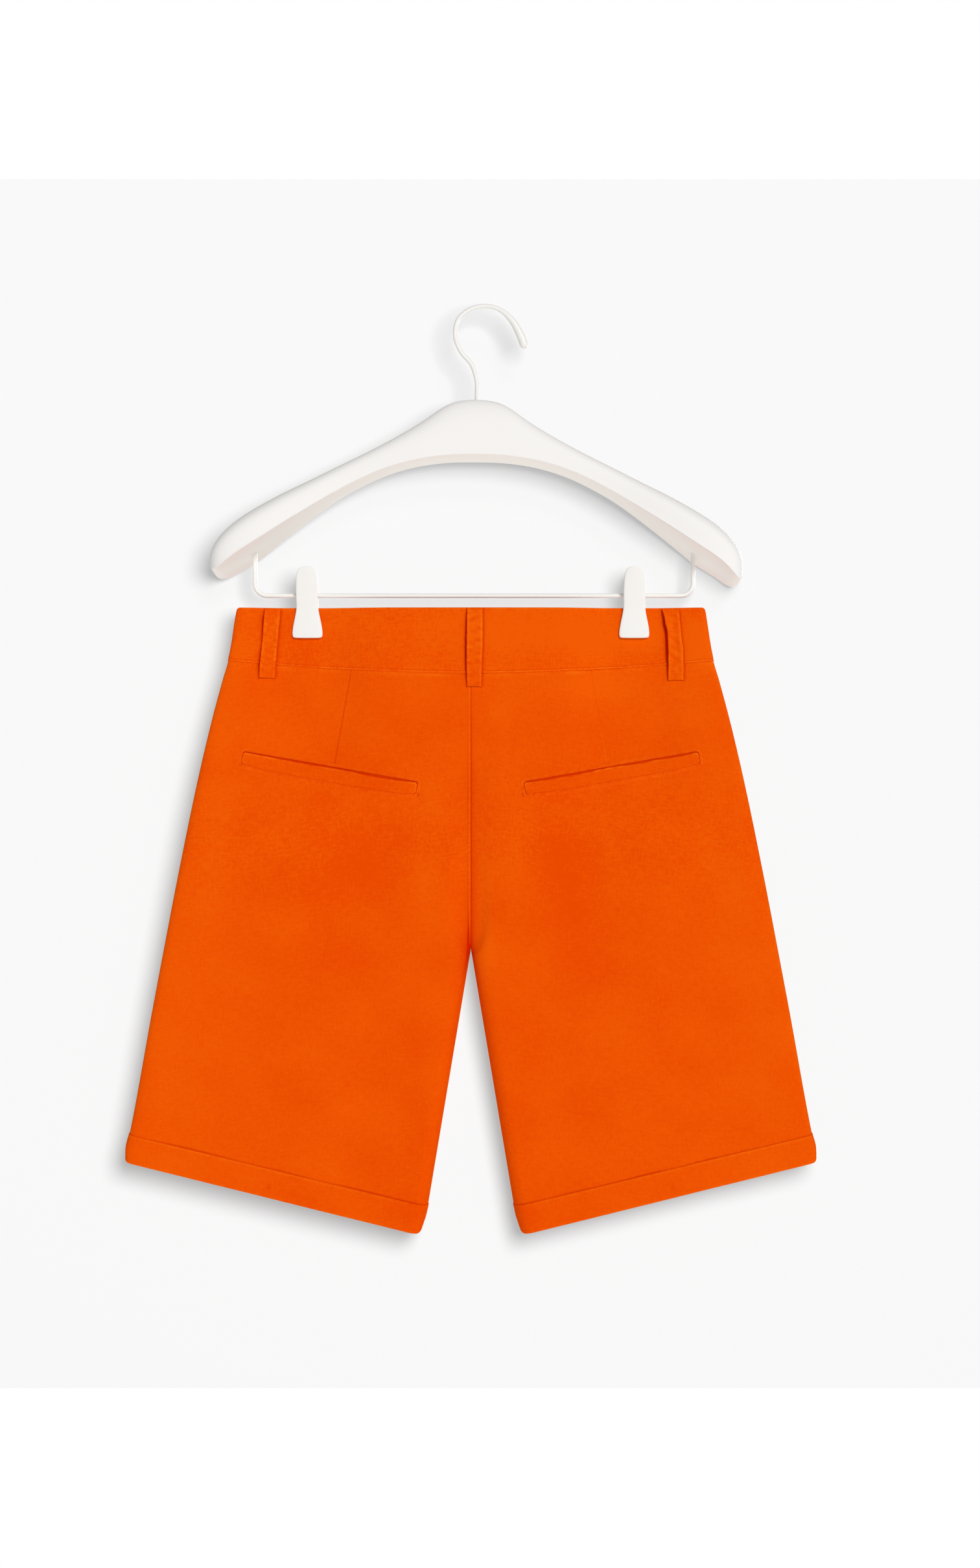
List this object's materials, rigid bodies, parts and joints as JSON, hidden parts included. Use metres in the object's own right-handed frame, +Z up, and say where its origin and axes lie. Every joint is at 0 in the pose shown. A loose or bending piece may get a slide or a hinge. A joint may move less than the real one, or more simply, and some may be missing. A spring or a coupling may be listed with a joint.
{
  "type": "bermuda shorts on a clip hanger",
  "caption": "Bermuda shorts with a wide waistband, belt loops, back welt pockets and turned-up hems, hung flat by the waistband from a contoured clip hanger.",
  "frame": {"origin": "the lowest point of the hook's inner bend, where it bears on the peg or rail that holds it", "axes": "+X to the right as the back of the shorts is looked at, which is the wearer's right; +Y from the back of the shorts to their front; +Z up"},
  "size_m": [0.5594, 0.0465, 0.7504],
  "materials": {
    "linen": "matt plain-woven linen blend with a fine slub",
    "hanger": "smooth satin white lacquer",
    "wire": "round steel wire, coated white, satin",
    "clip": "smooth white, satin",
    "button": "polished, in the colour of the cloth",
    "zip_tape": "woven tape in the colour of the cloth",
    "zip_metal": "pale metal"
  },
  "bodies": {
    "root": {"belt_loop_back_centre": "linen", "belt_loop_back_left": "linen", "belt_loop_back_right": "linen", "belt_loop_front_left": "linen", "belt_loop_front_right": "linen", "clip_left_far_jaw": "clip", "clip_left_near_jaw": "clip", "clip_left_sleeve": "clip", "clip_right_far_jaw": "clip", "clip_right_near_jaw": "clip", "clip_right_sleeve": "clip", "cuff_left_back": "linen", "cuff_left_front": "linen", "cuff_right_back": "linen", "cuff_right_front": "linen", "fly_placket": "linen", "fly_zip_slider": "zip_metal", "fly_zip_tape": "zip_tape", "hanger_bar": "wire", "hanger_body": "hanger", "hanger_hook": "wire", "panel_back_left": "linen", "panel_back_right": "linen", "panel_front_left": "linen", "panel_front_right": "linen", "pocket_welt_left": "linen", "pocket_welt_right": "linen", "waist_button": "button", "waistband_back": "linen", "waistband_front_left": "linen", "waistband_front_right": "linen"}
  },
  "joints": []
}
